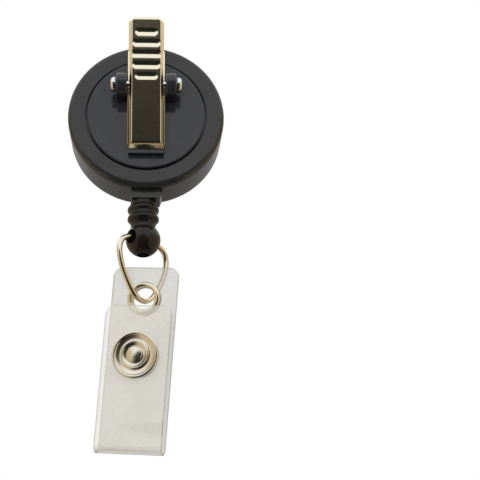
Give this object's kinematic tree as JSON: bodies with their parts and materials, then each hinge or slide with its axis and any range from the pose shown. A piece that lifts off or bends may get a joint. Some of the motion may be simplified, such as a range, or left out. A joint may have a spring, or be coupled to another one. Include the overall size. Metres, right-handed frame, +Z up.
{
  "type": "retractable badge reel",
  "caption": "Round badge reel with a spring-driven cord spool, a swivelling spring clip on the back, a ball end stop, a wire ring and a clear snap strap.",
  "frame": {"origin": "centre of the recessed label face on the front of the case", "axes": "+Z up with the strap hanging down, the reel axis is Y, the label face looks along -Y and the clip is on the +Y side"},
  "size_m": [0.032, 0.0182, 0.0886],
  "materials": {
    "black_gloss_plastic": "moulded, high gloss",
    "black_satin_plastic": "moulded, satin gloss",
    "white_plastic": "moulded",
    "black_cord": "braided nylon",
    "spring_steel": "rolled strip",
    "pale_nickel": "bright warm nickel plate",
    "clear_vinyl": "frosted clear vinyl"
  },
  "bodies": {
    "case": {"front_case": "black_gloss_plastic", "back_case": "black_gloss_plastic", "swivel_retainer": "black_satin_plastic", "neck_guide": "black_gloss_plastic", "mainspring": "spring_steel", "cord_lead": "black_cord"},
    "spool": {"spool": "white_plastic", "spool_washer": "pale_nickel", "cord_wound": "black_cord"},
    "swivel": {"swivel_disc": "black_gloss_plastic", "clip_axle": "pale_nickel", "clip_spring": "spring_steel"},
    "lever": {"clip_lever": "pale_nickel"},
    "cord_end": {"cord_tail": "black_cord", "cord_knot": "black_cord"},
    "stop": {"end_stop": "black_satin_plastic"},
    "ring": {"wire_ring": "pale_nickel"},
    "strap": {"strap_back": "clear_vinyl", "eyelet": "pale_nickel", "eyelet_washer": "pale_nickel", "snap_stud": "pale_nickel", "snap_stud_post": "pale_nickel"},
    "flap": {"strap_front": "clear_vinyl", "snap_socket": "pale_nickel", "snap_ring_cap": "pale_nickel"}
  },
  "joints": [
    {"name": "clip_swivel", "type": "hinge", "parent": "case", "child": "swivel", "pos_m": [0, 0.0095, 0], "axis": [0, 1, 0], "continuous": true},
    {"name": "clip_press", "type": "hinge", "parent": "swivel", "child": "lever", "pos_m": [0, 0.0139, 0.0048], "axis": [1, 0, 0], "range_deg": [0, 18], "stiffness_Nm_per_rad": 0.08, "springref_deg": -20.05, "deforming": ["clip_spring"]},
    {"name": "cord_pull", "type": "slide", "parent": "case", "child": "cord_end", "axis": [0, 0, -1], "range_m": [0, 0.8], "stiffness_N_per_m": 1.1, "springref_m": -0.5, "deforming": ["cord_tail"]},
    {"name": "spool_spin", "type": "hinge", "parent": "case", "child": "spool", "pos_m": [0, 0.0052, 0], "axis": [0, 1, 0], "range_deg": [0, 3900]},
    {"name": "stop_swivel", "type": "hinge", "parent": "cord_end", "child": "stop", "pos_m": [0.0005, 0.0054, -0.0258], "axis": [0, 0, 1], "continuous": true},
    {"name": "ring_swing", "type": "hinge", "parent": "stop", "child": "ring", "pos_m": [0.0005, 0.0054, -0.0258], "axis": [0.7431, 0.6691, 0], "range_deg": [-75, 75]},
    {"name": "strap_swing", "type": "hinge", "parent": "ring", "child": "strap", "pos_m": [0.0005, 0.0054, -0.03865], "axis": [0.7431, 0.6691, 0], "range_deg": [-20, 20]},
    {"name": "flap_open", "type": "hinge", "parent": "strap", "child": "flap", "pos_m": [0.0029, 0.00318, -0.06727], "axis": [-0.9534, 0.281, -0.1101], "range_deg": [0, 75], "stiffness_Nm_per_rad": 0.0002, "springref_deg": 28.65}
  ],
  "couplings": [
    {"joint": "spool_spin", "follows": "cord_pull", "rad_per_m": 83.333}
  ]
}
